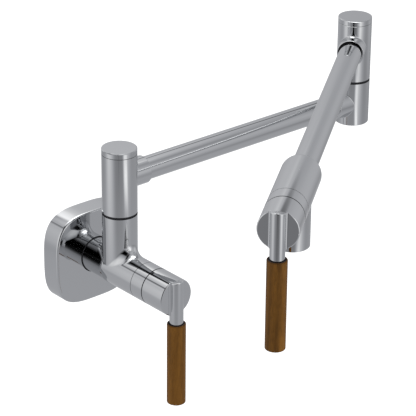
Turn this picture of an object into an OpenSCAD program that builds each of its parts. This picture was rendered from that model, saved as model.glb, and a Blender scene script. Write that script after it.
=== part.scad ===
// Wall-mounted pot filler: a wall body with a shut-off valve, two swivelling arms
// and a second valve above the outlet. Millimetres, +Z up, +Y into the wall.
// The origin is the mouth of the supply thread, on the wall.

/* [Wall plate] */
// Width and height of the wall plate
plate_size = 82.8; // [78:0.1:110]
// How far the wall plate stands off the wall
plate_depth = 18.8; // [14:0.1:26]
// Wall thickness of the plate's shell
plate_wall = 2.4; // [1.6:0.1:3.5]
// Rounding of the plate's front edge
plate_rim_r = 1.8; // [0.8:0.1:2.4]
// Squareness of the plate's outline, 2 is a circle
plate_power = 3.4; // [2.6:0.1:5]

/* [Wall bracket] */
// Gap between the bracket's flange and the plate's shell
bracket_gap = 5.6; // [4.5:0.1:6]
// Thickness of the bracket's flange
bracket_t = 3; // [2:0.1:4]
// Wall thickness of the bracket's sleeve
sleeve_wall = 4; // [3:0.1:6]
// Length of the bracket's sleeve
sleeve_len = 11; // [9:0.1:12]
// Distance between the two wall screws
screw_pitch = 53; // [52:0.1:56]
// Diameter of the wall screw holes
screw_hole_d = 5; // [4:0.1:5.5]

/* [Valve body] */
// Diameter of the valve barrels
barrel_d = 32.4; // [31.2:0.1:35]
// Diameter of the wall tube, which is a little slimmer than its barrel
wall_tube_d = 30.8; // [29:0.1:32]
// Distance from the wall to where the wall tube widens to the barrel
wall_tube_len = 43; // [36:0.1:46]
// Diameter of the posts
post_d = 30; // [28:0.1:31]
// Distance from the wall to the first post's axis
post_out = 51.6; // [46:0.1:70]
// Height of the first swivel joint above the barrel's axis
swivel_z = 50.5; // [46:0.1:70]
// Distance from the first post's axis to the bonnet ring
bonnet_out = 33.6; // [32.5:0.1:36]
// Radius of the blend between the first post and its barrel
crotch_r = 10.5; // [4:0.1:12]
// Diameter of the supply thread, half inch
inlet_d = 18.6; // [16:0.1:21]
// Depth of the supply thread
inlet_len = 15; // [12:0.1:18]

/* [Arms] */
// First arm, from post axis to elbow axis
arm_1_len = 266.5; // [160:0.5:400]
// Second arm, from elbow axis to outlet axis
arm_2_len = 327.6; // [240:0.5:420]
// Direction of the second arm, from the first one
arm_2_turn = -142; // [-175:1:-20]
// Outer diameter of the arm tubes
tube_d = 20; // [18:0.1:21]
// Wall thickness of the arm tubes
tube_wall = 1.4; // [1:0.1:2]
// Diameter of the collars on the arm tubes
collar_d = 24; // [22.6:0.1:25]
// Distance from a post axis to the end of a collar's straight part
collar_out = 24.6; // [20:0.1:34]
// Rounding of a collar's front edge
collar_round = 0.5; // [0.2:0.1:1]
// Radius of the fillet between a collar and its housing
collar_fillet = 1.6; // [0.8:0.1:2.2]

/* [Swivel joints] */
// Height of a swivel housing, without its cap
housing_h = 52.5; // [50:0.1:60]
// Height of an arm's axis above its swivel joint
arm_rise = 31; // [30:0.1:34]
// Height of a cap
cap_h = 4.9; // [3:0.1:8]
// Thickness of the black bearing washers
washer_t = 1.7; // [1:0.1:2.2]
// Height of the elbow's lower half above the first arm's axis
elbow_up = 20.9; // [20:0.1:28]
// Depth of the elbow's lower half below the first arm's axis
elbow_down = 19; // [17:0.1:24]
// Outer diameter of the spigots
spigot_d = 18; // [17:0.1:19]
// Radial clearance between a spigot and its bushes
swivel_fit = 0.05; // [0.03:0.01:0.1]

/* [Valve front] */
// Length of a bonnet ring
bonnet_len = 14.4; // [13:0.1:18]
// Width of the dark gap behind a lever hub
hub_gap = 0.6; // [0.4:0.05:1]
// Length of a lever hub
hub_len = 25; // [22:0.1:32]
// Diameter of a spindle
spindle_d = 8; // [7:0.1:9]
// Radial clearance between a spindle and its cartridge
spindle_fit = 0.05; // [0.03:0.01:0.1]

/* [Levers] */
// Diameter of a lever's metal stem
stem_d = 11.8; // [10:0.1:12.4]
// Distance of the stem's axis beyond the hub's end face
stem_out = 0.5; // [0.2:0.1:2]
// Diameter of a wooden sleeve
wood_d = 15.9; // [15.6:0.1:20]
// Depth of the sleeve's top below the barrel's axis
wood_top = 23.2; // [20:0.1:30]
// Length of a wooden sleeve
wood_len = 74.2; // [55:0.1:100]
// Rounding of the sleeve's top edge
wood_round = 0.9; // [0.4:0.1:1.2]

/* [Outlet] */
// Outer diameter of the outlet
outlet_d = 28.3; // [27:0.1:30]
// Depth of the outlet's mouth below the second arm's axis
outlet_drop = 43.5; // [36:0.1:60]
// Distance from the outlet's axis to the bonnet ring
outlet_front = 27.3; // [26.5:0.1:30]
// Length of the rounded shoulder behind the second barrel
shoulder_len = 8; // [6.5:0.1:14]
// Distance from the outlet's axis back to the start of the full barrel
shoulder_back = 35.6; // [30:0.1:50]
// Diameter of the aerator
aerator_d = 22; // [20:0.1:23]

/* [Hidden] */
$fn = 64;

// Overrun of every cut past the faces that it goes through
over = 1;
// Small chamfer on the visible edges, and rounding of the caps' and hubs' front edges
edge = 0.5;
edge_round = 0.7;

// Colours
chrome = [0.70, 0.71, 0.73];
brass = [0.78, 0.66, 0.36];
steel = [0.56, 0.57, 0.58];
black = [0.07, 0.07, 0.08];
ceramic = [0.93, 0.92, 0.88];
plastic = [0.82, 0.83, 0.84];
wood = [0.40, 0.24, 0.11];

// Radii that several pieces share
barrel_r = barrel_d / 2;
wall_tube_r = wall_tube_d / 2;
post_r = post_d / 2;
tube_r = tube_d / 2;
collar_r = collar_d / 2;
spigot_r = spigot_d / 2;
stem_r = stem_d / 2;
spindle_r = spindle_d / 2;

// Heights of the two swivel joints and of the two arms, above the barrel's axis
arm_1_z = swivel_z + washer_t + arm_rise;
elbow_z = arm_1_z + elbow_up;
arm_2_z = elbow_z + washer_t + arm_rise;

// Distances of the bonnet rings from the wall and from the elbow's axis
bonnet_1_y = post_out + bonnet_out;
bonnet_2_s = arm_2_len + outlet_front;

// Wall plate: points round its outline, steps round its front edge, ring at the tube
plate_sides = 128;
rim_steps = 6;
seal_w = 0.4;
seal_proud = 0.3;

// Length of the cone between the wall tube and its barrel
flare_len = 3;

// Wall bracket and its set screw
bracket_r = plate_size / 2 - plate_wall - bracket_gap;
set_r = 2.5;

// Depth of the fine groove where two chrome pieces meet
seam = 0.2;

// Valve chamber, seat and water ways
bonnet_wall = 2.7;
nose_wall = 2.5;
nose_r = barrel_r - bonnet_wall;
nose_len = 8;
chamber_r = nose_r - nose_wall;
chamber_len = 31.2;
waterway_r = 5;
seat_seal_t = 2.5;
riser_r = 7.5;
riser_floor = 8.5;

// Cartridge: body, flange, neck, and the pocket that holds its two discs
water_gap = 1.6;
cartridge_r = chamber_r - water_gap;
seat_seal_r = cartridge_r - edge;
flange_r = nose_r - 2 * edge;
flange_t = 2;
lip_r = cartridge_r - edge;
neck_r = lip_r - edge;
neck_len = 3.6;
pocket_wall = 1.8;
disc_r = cartridge_r - pocket_wall;
disc_t = 2.6;
disc_gap = 0.3;
port_r = 2.4;

// Spindle: how far it reaches into the hub, and its driving head
spindle_reach = 18;
head_r = disc_r - 2 * disc_gap;
head_t = 3;

// Hub: cavity round the cartridge's neck, grub screw, and fillets beside the stem
cavity_r = chamber_r;
cavity_len = 6;
grub_r = 2.5;
grub_len = 5;
grub_share = 0.5;
stem_fillet = 1.6;

// Lever core inside the sleeve, and the black ring at the sleeve's top
core_r = 4;
core_len = 62;
ring_w = 1.2;
ring_t = 1.6;
ring_sink = 0.5;
wood_foot = 0.7;

// Swivels: the land that the spigot turns in, its bushes, seals and clip
seat_len = 15;
spigot_wall = 3;
land_gap = 0.4;
land_len = arm_rise - collar_r - land_gap;
bush_wall = 1.6;
bush_len = 4;
bush_r = spigot_r + swivel_fit + bush_wall;
bearing_gap = 0.1;
seal_r = 1.1;
seal_off = 2.6;
seal_zs = [bush_len + seal_off, land_len - bush_len - seal_off];
clip_t = 1.2;
clip_w = 1.5;
clip_depth = 0.8;
clip_mouth = 60;
spigot_end = 3.5;
spigot_up = land_len + clip_t + spigot_end;
room_gap = 2;
room_r = spigot_r + room_gap;
plug_len = 5;
cap_seal_r = 0.9;
floor_t = 4;
washer_inset = 0.5;

// Collar: its front face slopes steeply down to its tube, from a rounded edge to a hollow
// foot and a thin lip, and its inner end follows the room that it opens into
nose_slope = 80;
nose_foot = 0.25;
nose_lip = 0.15;
round_drop = collar_round * (1 - cos(nose_slope));
foot_drop = nose_foot * (1 - cos(nose_slope));
face_drop = collar_r - tube_r - nose_lip - round_drop - foot_drop;
round_out = collar_out + collar_round * sin(nose_slope);
face_out = round_out + face_drop / tan(nose_slope);
nose_out = face_out + nose_foot * sin(nose_slope);
seat_gap = 0.5;
collar_seat_r = room_r + seat_gap;

// Second barrel: where it is at its full size, where its shoulder starts, tube socket
full_s = arm_2_len - shoulder_back;
nose_s = full_s - shoulder_len;
shoulder_drop = barrel_r - tube_r;
shoulder_arc_r = (shoulder_len * shoulder_len + shoulder_drop * shoulder_drop) / (2 * shoulder_drop);
socket_len = 18;

// Outlet and aerator
outlet_bore_r = 9;
outlet_roof = 8;
aerator_len = 11;
aerator_wall = 1.2;
aerator_sink = 0.6;
washer_w = 2.4;
gasket_t = 1.6;
jet_r = 0.9;
jet_rings = 2;
aerator_z = outlet_drop - aerator_len;

// Distances from the bonnet ring's seat: cartridge, plane between its discs, hub, stem
cartridge_z = seat_seal_t - chamber_len;
disc_z = cartridge_z + flange_t + disc_t;
hub_z = bonnet_len + hub_gap;
stem_z = hub_z + hub_len + stem_out;

// Frames

// Turns a shape along +Z so that it runs out from the wall, along -Y
module outward() {
    rotate([90, 0, 0])
        children();
}

// First post's axis
module at_post() {
    translate([0, -post_out, 0])
        children();
}

// Elbow's axis
module at_elbow() {
    translate([arm_1_len, -post_out, 0])
        children();
}

// Frame of a barrel's front: +Z runs out along the barrel from the bonnet ring's seat
// and +Y points up
module front_1() {
    translate([0, -bonnet_1_y, 0])
        outward()
            children();
}

module front_2() {
    along_arm_2()
        translate([0, 0, bonnet_2_s])
            children();
}

// Frame of the first arm: +Z runs from the post to the elbow, +Y points up
module along_arm_1() {
    translate([0, -post_out, arm_1_z])
        rotate([90, 0, 90])
            children();
}

// Frame of the second arm: +Z runs from the elbow to the outlet, +Y points up
module along_arm_2() {
    at_elbow()
        translate([0, 0, arm_2_z])
            rotate([90, 0, 90 + arm_2_turn])
                children();
}

// Shared shapes

// A cylinder with a chamfer at its top
module topped(r, h, chamfer) {
    rotate_extrude()
        polygon([[0, 0], [r, 0], [r, h - chamfer], [r - chamfer, h], [0, h]]);
}

// A cylinder with a chamfer at its foot
module footed(r, h, chamfer) {
    rotate_extrude()
        polygon([[0, 0], [r - chamfer, 0], [r, chamfer], [r, h], [0, h]]);
}

// A cylinder with a chamfer at both ends
module pebbled(r, h, foot, top) {
    rotate_extrude()
        polygon([[0, 0], [r - foot, 0], [r, foot], [r, h - top], [r - top, h], [0, h]]);
}

// A cylinder with a chamfer at its foot and a rounded edge at its top
module domed(r, h, foot, round) {
    rotate_extrude() {
        polygon([[0, 0], [r - foot, 0], [r, foot], [r, h - round], [0, h - round]]);
        translate([0, h - round])
            square([r - round, round]);
        intersection() {
            translate([r - round, h - round])
                square([round, round]);
            translate([r - round, h - round])
                circle(r = round, $fn = 48);
        }
    }
}

// A plain ring
module ring(outer_r, inner_r, h) {
    difference() {
        cylinder(r = outer_r, h = h);
        translate([0, 0, -over])
            cylinder(r = inner_r, h = h + 2 * over);
    }
}

// An O-ring of section radius s that touches the outer radius r
module o_ring(r, s) {
    rotate_extrude()
        translate([r - s, 0])
            circle(r = s, $fn = 24);
}

// Outline of the wall plate at an angle, drawn in by inset
function plate_point(a, inset) =
    let (r = (plate_size / 2 - inset)
        / pow(pow(abs(cos(a)), plate_power) + pow(abs(sin(a)), plate_power), 1 / plate_power))
    [r * cos(a), r * sin(a)];

function plate_outline(inset) =
    [for (i = [0:plate_sides - 1]) plate_point(360 * i / plate_sides, inset)];

// Faces that join rings of n points into a closed solid
function loft_faces(n, rings) = concat(
    [[for (i = [0:n - 1]) i]],
    [for (k = [0:rings - 2]) for (i = [0:n - 1])
        let (j = (i + 1) % n) [k * n + i, (k + 1) * n + i, k * n + j]],
    [for (k = [0:rings - 2]) for (i = [0:n - 1])
        let (j = (i + 1) % n) [k * n + j, (k + 1) * n + i, (k + 1) * n + j]],
    [[for (i = [n - 1:-1:0]) (rings - 1) * n + i]]
);

// Wall plate's outer form, along +Z, with its front edge rounded
module plate_form() {
    levels = concat([[0, 0]], [for (k = [0:rim_steps])
        let (a = 90 * k / rim_steps)
        [plate_rim_r * (1 - cos(a)), plate_depth - plate_rim_r * (1 - sin(a))]]);
    points = [for (l = levels) for (p = plate_outline(l[0])) [p[0], p[1], l[1]]];
    polyhedron(points, loft_faces(plate_sides, len(levels)));
}

// Rolling-ball blend round a stem, where it stands on a cylinder. The stem runs along
// +Z and the cylinder along Y. The ball touches both, and sinks into them by blend_sink.
blend_sides = 72;
blend_steps = 7;
blend_sink = 0.02;
blend_root = 1.5;
least_angle = 0.001;

// Unit vector a share t of the way round the arc from a to b
function unit_arc(a, b, t) =
    let (w = max(acos(min(a * b, 1)), least_angle))
    (sin((1 - t) * w) * a + sin(t * w) * b) / sin(w);

// Radius of the wall tube or of its barrel, at a distance out from the wall
function body_r(out) =
    wall_tube_r + (barrel_r - wall_tube_r) * min(max((out - wall_tube_len) / flare_len, 0), 1);

function blend_section(phi, stem, base, ball) =
    let (
        out = stem + ball - blend_sink,
        up = base + ball - blend_sink,
        c = [out * cos(phi), out * sin(phi), sqrt(up * up - pow(out * cos(phi), 2))],
        to_stem = [-cos(phi), -sin(phi), 0],
        to_base = [-c[0], 0, -c[2]] / up,
        root = stem - blend_root,
        root_z = sqrt(base * base - pow(root * cos(phi), 2)) - blend_root
    )
    concat(
        [for (k = [0:blend_steps]) c + ball * unit_arc(to_stem, to_base, k / blend_steps)],
        [[root * cos(phi), root * sin(phi), root_z]]
    );

function loop_faces(n, m) = [
    for (i = [0:n - 1]) for (k = [0:m - 1])
        let (j = (i + 1) % n, l = (k + 1) % m)
        for (f = [[i * m + k, j * m + k, i * m + l], [j * m + k, j * m + l, i * m + l]]) f
];

module blend(sections) {
    polyhedron([for (s = sections) for (p = s) p], loop_faces(blend_sides, blend_steps + 2));
}

// Blend round the first post, whose barrel is slimmer on the wall's side
module crotch_blend() {
    out = post_r + crotch_r - blend_sink;
    blend([for (i = [0:blend_sides - 1])
        let (phi = 360 * i / blend_sides)
        blend_section(phi, post_r, body_r(post_out - out * sin(phi)), crotch_r)]);
}

// Wall plate and what it covers

module wall_plate() {
    color(chrome)
        outward()
            difference() {
                plate_form();
                translate([0, 0, -over])
                    linear_extrude(plate_depth - plate_wall + over)
                        polygon(plate_outline(plate_wall));
                cylinder(r = wall_tube_r + seal_w, h = plate_depth + over);
            }
}

module plate_seal() {
    color(black)
        outward()
            translate([0, 0, plate_depth - plate_wall])
                ring(wall_tube_r + seal_w, wall_tube_r, plate_wall + seal_proud);
}

module wall_bracket() {
    color(steel)
        outward()
            difference() {
                union() {
                    cylinder(r = bracket_r, h = bracket_t);
                    cylinder(r = wall_tube_r + sleeve_wall, h = sleeve_len);
                }
                translate([0, 0, -over])
                    cylinder(r = wall_tube_r, h = sleeve_len + 2 * over);
                for (side = [-1, 1])
                    translate([side * screw_pitch / 2, 0, -over])
                        cylinder(d = screw_hole_d, h = bracket_t + 2 * over);
                translate([0, 0, (sleeve_len + bracket_t) / 2])
                    rotate([90, 0, 0])
                        cylinder(r = set_r, h = wall_tube_r + sleeve_wall + over);
            }
}

module bracket_set_screw() {
    color(steel)
        outward()
            translate([0, 0, (sleeve_len + bracket_t) / 2])
                rotate([90, 0, 0])
                    translate([0, 0, wall_tube_r])
                        cylinder(r = set_r, h = sleeve_wall);
}

// Nose and valve chamber at a barrel's front, cut from a frame at the bonnet's seat
module front_nose() {
    translate([0, 0, -over])
        cylinder(r = nose_r, h = nose_len + over);
}

module front_chamber() {
    translate([0, 0, -chamber_len])
        cylinder(r = chamber_r, h = chamber_len + nose_len + over);
}

// Outer form of the wall tube and the first barrel
module barrel_1_form() {
    rotate_extrude()
        polygon([
            [0, 0],
            [wall_tube_r, 0],
            [wall_tube_r, wall_tube_len],
            [barrel_r, wall_tube_len + flare_len],
            [barrel_r, bonnet_1_y - seam],
            [barrel_r - seam, bonnet_1_y],
            [0, bonnet_1_y]
        ]);
}

module valve_body_1() {
    color(chrome)
        difference() {
            union() {
                outward()
                    barrel_1_form();
                front_1()
                    front_nose();
                at_post() {
                    cylinder(r = post_r, h = swivel_z);
                    crotch_blend();
                }
            }
            outward()
                translate([0, 0, -over])
                    cylinder(d = inlet_d, h = inlet_len + over);
            outward()
                cylinder(r = waterway_r, h = bonnet_1_y - chamber_len + over);
            front_1()
                front_chamber();
            at_post() {
                translate([0, 0, riser_floor])
                    cylinder(r = riser_r, h = swivel_z);
                translate([0, 0, swivel_z - seat_len])
                    cylinder(r = spigot_r, h = seat_len + over);
            }
        }
}

// Valve front: the same set of pieces on both barrels

module seat_seal() {
    color(black)
        translate([0, 0, -chamber_len])
            ring(seat_seal_r, waterway_r, seat_seal_t);
}

module cartridge() {
    color(brass)
        difference() {
            union() {
                translate([0, 0, cartridge_z])
                    cylinder(r = cartridge_r, h = nose_len - cartridge_z);
                translate([0, 0, nose_len])
                    cylinder(r = flange_r, h = flange_t);
                translate([0, 0, nose_len])
                    cylinder(r = neck_r, h = flange_t + neck_len);
            }
            translate([0, 0, cartridge_z - over])
                cylinder(r = waterway_r, h = flange_t + 2 * over);
            translate([0, 0, cartridge_z + flange_t])
                cylinder(r = disc_r, h = 2 * disc_t + disc_gap + head_t);
            translate([0, 0, disc_z])
                cylinder(r = spindle_r + spindle_fit, h = hub_z - disc_z);
            translate([0, 0, disc_z + disc_t + head_t / 2])
                for (turn = [0, 90])
                    rotate([90, 0, turn])
                        translate([0, 0, -cartridge_r - over])
                            cylinder(r = port_r, h = 2 * (cartridge_r + over));
        }
}

module fixed_disc() {
    color(ceramic)
        translate([0, 0, disc_z - disc_t])
            difference() {
                cylinder(r = disc_r, h = disc_t);
                translate([0, 0, -over])
                    intersection() {
                        cylinder(r = waterway_r, h = disc_t + 2 * over);
                        translate([0, -waterway_r, 0])
                            cube([waterway_r, 2 * waterway_r, disc_t + 2 * over]);
                    }
            }
}

module bonnet() {
    color(chrome)
        difference() {
            pebbled(barrel_r, bonnet_len, seam, seam);
            translate([0, 0, -over])
                cylinder(r = nose_r, h = nose_len + flange_t + over);
            cylinder(r = lip_r, h = bonnet_len + over);
        }
}

module hub_washer() {
    color(black)
        translate([0, 0, bonnet_len])
            ring(barrel_r - washer_inset, cavity_r, hub_gap);
}

// Lever: the hub's end carries a round stem that hangs from it

// Section of the stem where it crosses the hub's end face, with its two fillets
module stem_section() {
    reach = sqrt(pow(stem_r + stem_fillet, 2) - pow(stem_fillet - stem_out, 2));
    touch_share = stem_r / (stem_r + stem_fillet);
    circle(r = stem_r);
    difference() {
        translate([-reach, -stem_out])
            square([2 * reach, stem_out + (stem_fillet - stem_out) * touch_share]);
        for (side = [-1, 1])
            translate([side * reach, stem_fillet - stem_out])
                circle(r = stem_fillet);
    }
}

module lever_hub() {
    color(chrome)
        difference() {
            union() {
                translate([0, 0, hub_z])
                    domed(barrel_r, hub_len, seam, edge_round);
                intersection() {
                    translate([0, -barrel_r, stem_z])
                        rotate([-90, 0, 0])
                            mirror([0, 1, 0])
                                linear_extrude(2 * barrel_r)
                                    stem_section();
                    translate([0, 0, hub_z + hub_len - over])
                        cylinder(r = barrel_r, h = stem_d);
                }
                translate([0, 0, stem_z])
                    rotate([90, 0, 0])
                        cylinder(r = stem_r, h = wood_top + ring_sink + ring_t);
                translate([0, 0, stem_z])
                    rotate([90, 0, 0])
                        cylinder(r = core_r, h = wood_top + core_len);
            }
            translate([0, 0, hub_z - over])
                cylinder(r = cavity_r, h = cavity_len + over);
            translate([0, 0, hub_z])
                cylinder(r = spindle_r, h = spindle_reach);
            translate([0, 0, hub_z + hub_len * grub_share])
                rotate([90, 0, 0])
                    cylinder(r = grub_r, h = barrel_r + over);
        }
}

module spindle() {
    start = disc_z + disc_t;
    color(brass)
        translate([0, 0, start]) {
            cylinder(r = head_r, h = head_t);
            cylinder(r = spindle_r, h = hub_z + spindle_reach - start);
        }
}

module moving_disc() {
    color(ceramic)
        translate([0, 0, disc_z])
            difference() {
                cylinder(r = disc_r - disc_gap, h = disc_t);
                translate([0, 0, -over])
                    intersection() {
                        cylinder(r = waterway_r, h = disc_t + 2 * over);
                        translate([-waterway_r, -waterway_r, 0])
                            cube([waterway_r, 2 * waterway_r, disc_t + 2 * over]);
                    }
            }
}

module hub_screw() {
    color(steel)
        translate([0, 0, hub_z + hub_len * grub_share])
            rotate([90, 0, 0])
                translate([0, 0, spindle_r])
                    cylinder(r = grub_r, h = grub_len);
}

module sleeve_ring() {
    color(black)
        translate([0, 0, stem_z])
            rotate([90, 0, 0])
                translate([0, 0, wood_top + ring_sink])
                    ring(stem_r + ring_w, stem_r, ring_t);
}

module lever_sleeve() {
    r = wood_d / 2;
    color(wood)
        translate([0, 0, stem_z])
            rotate([90, 0, 0])
                translate([0, 0, wood_top])
                    difference() {
                        rotate_extrude() {
                            translate([0, wood_round])
                                square([r, wood_len - wood_round - wood_foot]);
                            square([r - wood_round, wood_round]);
                            translate([r - wood_round, wood_round])
                                circle(r = wood_round);
                            translate([0, wood_len - wood_foot])
                                square([r - wood_foot, wood_foot]);
                            translate([r - wood_foot, wood_len - wood_foot])
                                circle(r = wood_foot);
                        }
                        translate([0, 0, -over])
                            cylinder(r = stem_r + ring_w, h = over + ring_sink + ring_t);
                        cylinder(r = core_r, h = core_len);
                    }
}

// Swivel joints: the same set of pieces on the post and on the elbow, from a frame
// whose origin is the top of the joint's lower half

module spigot() {
    color(brass)
        difference() {
            translate([0, 0, -seat_len])
                cylinder(r = spigot_r, h = seat_len + washer_t + spigot_up);
            translate([0, 0, -seat_len - over])
                cylinder(r = spigot_r - spigot_wall, h = seat_len + washer_t + spigot_up + 2 * over);
            for (z = seal_zs)
                translate([0, 0, washer_t + z - seal_r])
                    ring(spigot_r + over, spigot_r - 2 * seal_r, 2 * seal_r);
            translate([0, 0, washer_t + land_len])
                ring(spigot_r + over, spigot_r - clip_depth, clip_t);
        }
}

module spigot_seals() {
    color(black)
        for (z = seal_zs)
            translate([0, 0, washer_t + z])
                o_ring(spigot_r, seal_r);
}

module swivel_washer() {
    color(black)
        ring(post_r - washer_inset, spigot_r, washer_t);
}

// Open spring clip in the spigot's top groove
module spigot_clip() {
    color(steel)
        translate([0, 0, washer_t + land_len])
            difference() {
                ring(spigot_r + clip_w, spigot_r - clip_depth, clip_t);
                translate([0, 0, -over])
                    linear_extrude(clip_t + 2 * over)
                        polygon([
                            [0, 0],
                            2 * spigot_d * [cos(clip_mouth / 2), -sin(clip_mouth / 2)],
                            2 * spigot_d * [cos(clip_mouth / 2), sin(clip_mouth / 2)]
                        ]);
            }
}

// Bore of a swivel housing: two bush pockets, a bearing land and the room above it
module housing_bore() {
    translate([0, 0, -over])
        cylinder(r = spigot_r + bearing_gap, h = land_len + 2 * over);
    translate([0, 0, -over])
        cylinder(r = bush_r, h = bush_len + over);
    translate([0, 0, land_len - bush_len])
        cylinder(r = bush_r, h = bush_len + over);
    translate([0, 0, land_len])
        cylinder(r = room_r, h = housing_h);
}

// Swivel housing with a side hole for its arm, which points along +X
module housing() {
    color(chrome)
        translate([0, 0, washer_t])
            difference() {
                topped(post_r, housing_h, seam);
                housing_bore();
                translate([0, 0, arm_rise])
                    rotate([0, 90, 0])
                        cylinder(r = collar_r, h = post_d);
            }
}

module bushes() {
    color(plastic)
        for (z = [0, land_len - bush_len])
            translate([0, 0, washer_t + z])
                ring(bush_r, spigot_r + swivel_fit, bush_len);
}

// Cap with a plug that screws into the housing's room
module cap() {
    color(chrome)
        translate([0, 0, washer_t + housing_h])
            difference() {
                union() {
                    domed(post_r, cap_h, seam, edge_round);
                    translate([0, 0, -plug_len])
                        cylinder(r = room_r, h = plug_len + over);
                }
                translate([0, 0, -plug_len / 2 - cap_seal_r])
                    ring(room_r + over, room_r - 2 * cap_seal_r, 2 * cap_seal_r);
            }
}

module cap_seal() {
    color(black)
        translate([0, 0, washer_t + housing_h - plug_len / 2])
            o_ring(room_r, cap_seal_r);
}

// Collar round an arm tube, in a frame along the arm with its post at the origin
module collar() {
    color(chrome)
        difference() {
            union() {
                rotate_extrude()
                    collar_half();
                collar_blend();
            }
            translate([0, 0, -over])
                cylinder(r = tube_r, h = nose_out + 2 * over);
            rotate([90, 0, 0])
                translate([0, 0, -post_d])
                    cylinder(r = collar_seat_r, h = 2 * post_d);
        }
}

// Half section of a collar, before it is bored
module collar_half() {
    difference() {
        union() {
            polygon([
                [0, 0],
                [collar_r, 0],
                [collar_r, collar_out],
                [collar_r - round_drop, round_out],
                [collar_r - round_drop - face_drop, face_out],
                [tube_r + nose_lip, nose_out],
                [0, nose_out]
            ]);
            intersection() {
                translate([collar_r - collar_round, collar_out])
                    circle(r = collar_round);
                translate([collar_r - collar_round, collar_out])
                    square([collar_round, round_out - collar_out]);
            }
        }
        translate([tube_r + nose_lip + nose_foot, nose_out])
            circle(r = nose_foot);
    }
}

// Fillet round a collar, which lies on the outside of its housing
module collar_blend() {
    difference() {
        blend([for (i = [0:blend_sides - 1])
            blend_section(360 * i / blend_sides, collar_r, post_r, collar_fillet)]);
        rotate([90, 0, 0])
            translate([0, 0, -post_d])
                cylinder(r = post_r, h = 2 * post_d);
    }
}

// Frames of the two swivel joints

module post_joint() {
    at_post()
        translate([0, 0, swivel_z])
            children();
}

module elbow_joint() {
    at_elbow()
        translate([0, 0, elbow_z])
            children();
}

module elbow_joint_turned() {
    elbow_joint()
        rotate([0, 0, arm_2_turn])
            children();
}

module arm_1_tube() {
    color(chrome)
        along_arm_1()
            translate([0, 0, collar_seat_r])
                ring(tube_r, tube_r - tube_wall, arm_1_len - 2 * collar_seat_r);
}

module arm_1_collar_elbow() {
    along_arm_1()
        translate([0, 0, arm_1_len])
            mirror([0, 0, 1])
                collar();
}

// Lower half of the elbow, closed below
module elbow_base() {
    height = elbow_down + elbow_up;
    color(chrome)
        at_elbow()
            translate([0, 0, arm_1_z - elbow_down])
                difference() {
                    footed(post_r, height, edge);
                    translate([0, 0, floor_t])
                        cylinder(r = spigot_r, h = height);
                    translate([0, 0, elbow_down])
                        rotate([0, -90, 0])
                            cylinder(r = collar_r, h = post_d);
                }
}

// Second arm

module arm_2_tube() {
    color(chrome)
        along_arm_2()
            translate([0, 0, collar_seat_r])
                ring(tube_r, tube_r - tube_wall, nose_s + socket_len - collar_seat_r);
}

// Outer form of the second barrel, with its rounded shoulder
module barrel_2_form() {
    rotate_extrude() {
        translate([0, full_s])
            square([barrel_r, bonnet_2_s - full_s - seam]);
        translate([0, full_s])
            square([barrel_r - seam, bonnet_2_s - full_s]);
        intersection() {
            translate([0, nose_s])
                square([barrel_r, shoulder_len]);
            translate([barrel_r - shoulder_arc_r, full_s])
                circle(r = shoulder_arc_r, $fn = 128);
        }
    }
}

module valve_body_2() {
    color(chrome)
        along_arm_2()
            difference() {
                union() {
                    barrel_2_form();
                    translate([0, 0, bonnet_2_s])
                        front_nose();
                    translate([0, 0, arm_2_len])
                        rotate([90, 0, 0])
                            topped(outlet_d / 2, outlet_drop, edge);
                }
                translate([0, 0, nose_s - over])
                    cylinder(r = tube_r, h = socket_len + over);
                translate([0, 0, nose_s])
                    cylinder(r = waterway_r, h = bonnet_2_s - nose_s - chamber_len + over);
                translate([0, 0, bonnet_2_s])
                    front_chamber();
                translate([0, 0, arm_2_len])
                    rotate([90, 0, 0]) {
                        translate([0, 0, outlet_roof])
                            cylinder(r = outlet_bore_r, h = outlet_drop - outlet_roof);
                        translate([0, 0, aerator_z])
                            cylinder(d = aerator_d, h = aerator_len + over);
                    }
            }
}

// Aerator, in a frame that runs down from the second arm's axis at the outlet
module down_outlet() {
    along_arm_2()
        translate([0, 0, arm_2_len])
            rotate([90, 0, 0])
                children();
}

module aerator_washer() {
    color(black)
        down_outlet()
            translate([0, 0, aerator_z])
                ring(aerator_d / 2, aerator_d / 2 - washer_w, gasket_t);
}

module aerator_shell() {
    color(chrome)
        down_outlet()
            translate([0, 0, aerator_z + gasket_t])
                ring(aerator_d / 2, aerator_d / 2 - aerator_wall, aerator_len - gasket_t - aerator_sink);
}

module aerator_insert() {
    r = aerator_d / 2 - aerator_wall;
    h = aerator_len - gasket_t - 2 * aerator_sink;
    color(plastic)
        down_outlet()
            translate([0, 0, aerator_z + gasket_t])
                difference() {
                    cylinder(r = r, h = h);
                    translate([0, 0, -over])
                        cylinder(r = jet_r, h = h + 2 * over);
                    for (k = [1:jet_rings])
                        for (i = [0:6 * k - 1])
                            rotate([0, 0, 360 * i / (6 * k)])
                                translate([r * k / (jet_rings + 1), 0, -over])
                                    cylinder(r = jet_r, h = h + 2 * over, $fn = 24);
                }
}

wall_plate();
plate_seal();
wall_bracket();
bracket_set_screw();
valve_body_1();
front_1() seat_seal();  // seat_seal_1
front_1() cartridge();  // cartridge_1
front_1() fixed_disc();  // fixed_disc_1
front_1() bonnet();  // bonnet_1
front_1() hub_washer();  // hub_washer_1
post_joint() spigot();  // post_spigot
post_joint() spigot_seals();  // post_seals
post_joint() swivel_washer();  // post_washer
post_joint() spigot_clip();  // post_clip
post_joint() housing();  // post_housing
post_joint() bushes();  // post_bushes
post_joint() cap();  // post_cap
post_joint() cap_seal();  // post_cap_seal
along_arm_1() collar();  // arm_1_collar_post
arm_1_tube();
arm_1_collar_elbow();
elbow_base();
elbow_joint() spigot();  // elbow_spigot
elbow_joint() spigot_seals();  // elbow_seals
elbow_joint() swivel_washer();  // elbow_washer
elbow_joint() spigot_clip();  // elbow_clip
elbow_joint_turned() housing();  // elbow_housing
elbow_joint_turned() bushes();  // elbow_bushes
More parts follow.
